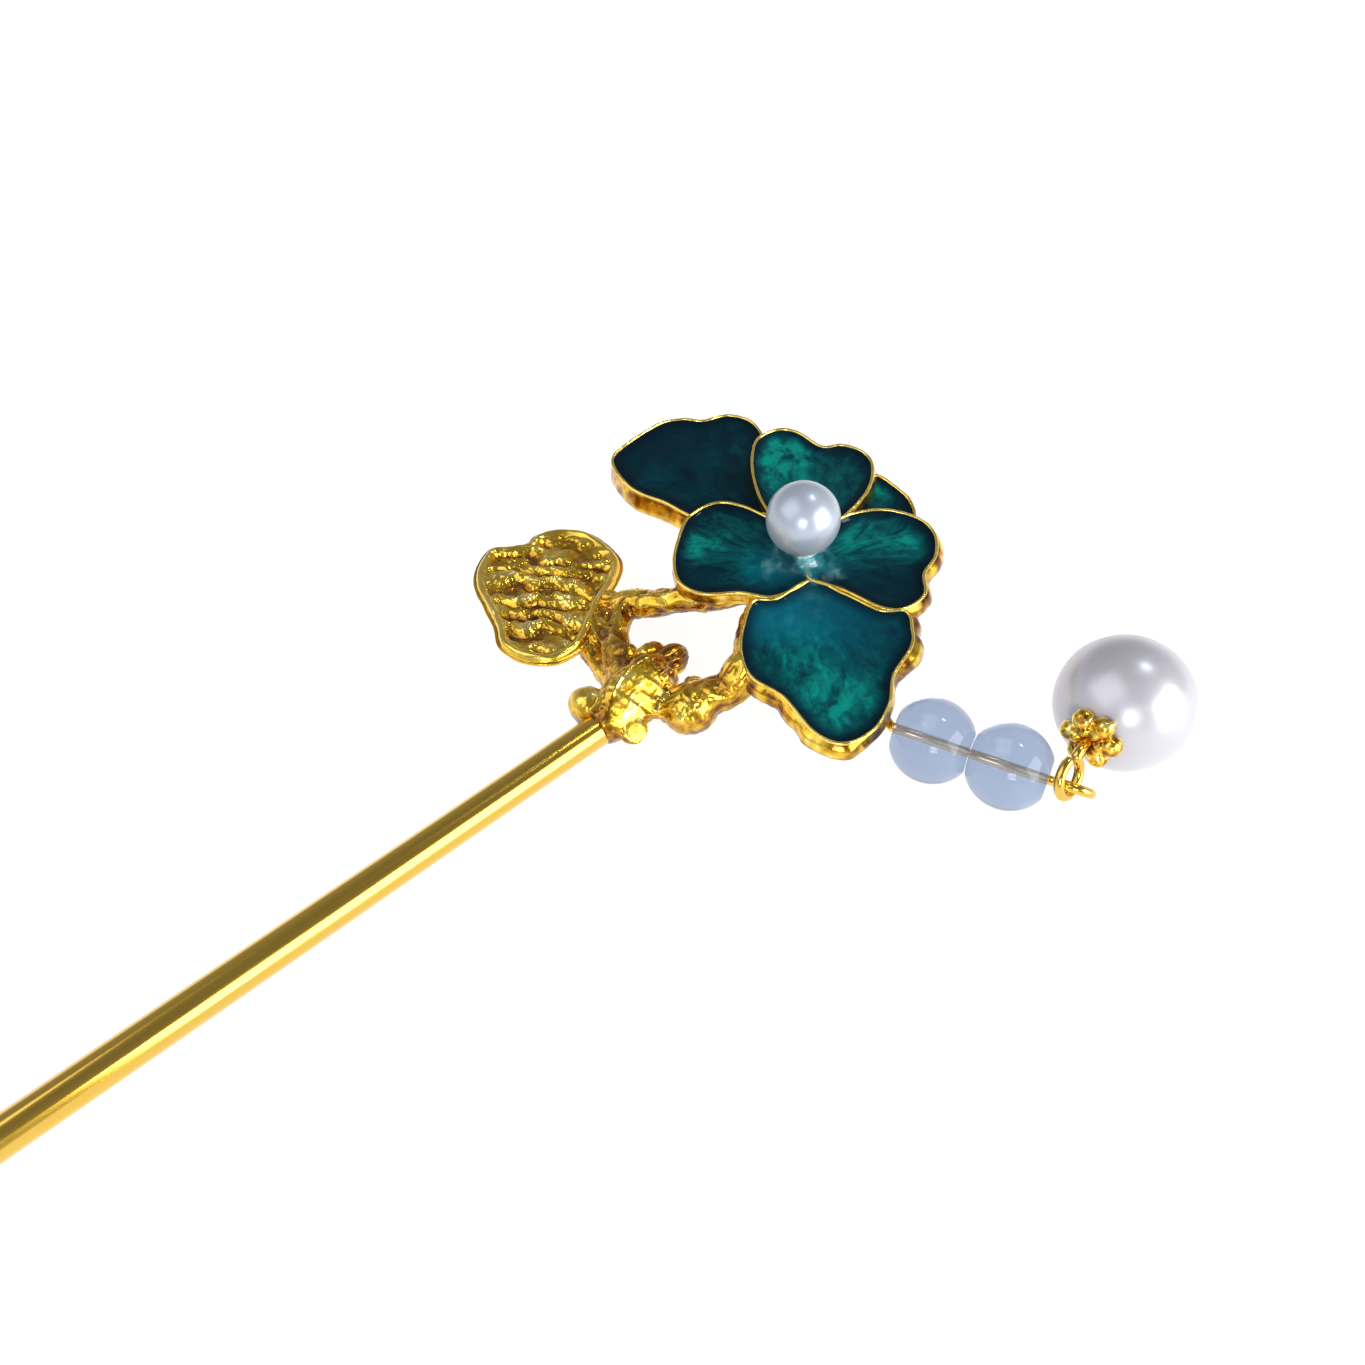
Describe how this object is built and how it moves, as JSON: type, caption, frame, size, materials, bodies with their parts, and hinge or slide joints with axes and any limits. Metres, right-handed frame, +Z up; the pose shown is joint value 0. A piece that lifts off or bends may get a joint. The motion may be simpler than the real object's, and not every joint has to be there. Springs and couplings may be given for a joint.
{
  "type": "decorative hair pin",
  "caption": "Gold-toned hair stick with an enamelled flower head, a pearl at its centre, a cast leaf and branch, and a swinging drop of clear beads and a pearl.",
  "frame": {"origin": "middle of the flat back of the branch casting, on the plane the hair pin lies on", "axes": "+Z up, out of the front of the flower; +X along the stick, from its tip towards the flower"},
  "size_m": [0.1609, 0.0508, 0.0131],
  "materials": {
    "polished_gold": "polished, gold plated",
    "cast_gold": "cast, bark-like texture, gold plated",
    "teal_enamel": "pearlescent soft enamel, glossy",
    "pearl": "pearl coat",
    "clear_glass": "clear, smooth, faintly blue",
    "clear_resin": "clear set resin, wet look"
  },
  "bodies": {
    "head_and_stick": {"hair_stick": "polished_gold", "branch_casting": "cast_gold", "leaf_casting": "cast_gold", "flower_casting": "cast_gold", "enamel_top": "teal_enamel", "enamel_left": "teal_enamel", "enamel_right": "teal_enamel", "enamel_bottom": "teal_enamel", "enamel_upper_left": "teal_enamel", "enamel_upper_right": "teal_enamel", "pearl_peg": "polished_gold", "resin_fillet": "clear_resin", "flower_pearl": "pearl"},
    "strand": {"strand_eye_pin": "polished_gold"},
    "inner_bead": {"clear_bead_inner": "clear_glass"},
    "outer_bead": {"clear_bead_outer": "clear_glass"},
    "pearl_pin": {"pearl_head_pin": "polished_gold"},
    "pearl_cap": {"bead_cap": "polished_gold"},
    "pearl": {"drop_pearl": "pearl"}
  },
  "joints": [
    {"name": "strand_swing", "type": "hinge", "parent": "head_and_stick", "child": "strand", "pos_m": [0.0079, -0.01384, 0.00305], "axis": [0, 0, 1], "range_deg": [-15, 26]},
    {"name": "inner_bead_spin", "type": "hinge", "parent": "strand", "child": "inner_bead", "pos_m": [0.00946, -0.01779, 0.00305], "axis": [0.3665, -0.9304, 0], "continuous": true},
    {"name": "outer_bead_spin", "type": "hinge", "parent": "strand", "child": "outer_bead", "pos_m": [0.01143, -0.0228, 0.00305], "axis": [0.3665, -0.9304, 0], "continuous": true},
    {"name": "pearl_swing", "type": "hinge", "parent": "strand", "child": "pearl_pin", "pos_m": [0.01213, -0.02663, 0.00395], "axis": [0.1392, -0.9551, 0.2614], "range_deg": [-36, 45]},
    {"name": "cap_spin", "type": "hinge", "parent": "pearl_pin", "child": "pearl_cap", "pos_m": [0.0204, -0.02545, 0.0048], "axis": [-0.9919, -0.0784, 0.0997], "continuous": true},
    {"name": "pearl_spin", "type": "hinge", "parent": "pearl_pin", "child": "pearl", "pos_m": [0.0204, -0.02545, 0.0048], "axis": [-0.9919, -0.0784, 0.0997], "continuous": true}
  ]
}
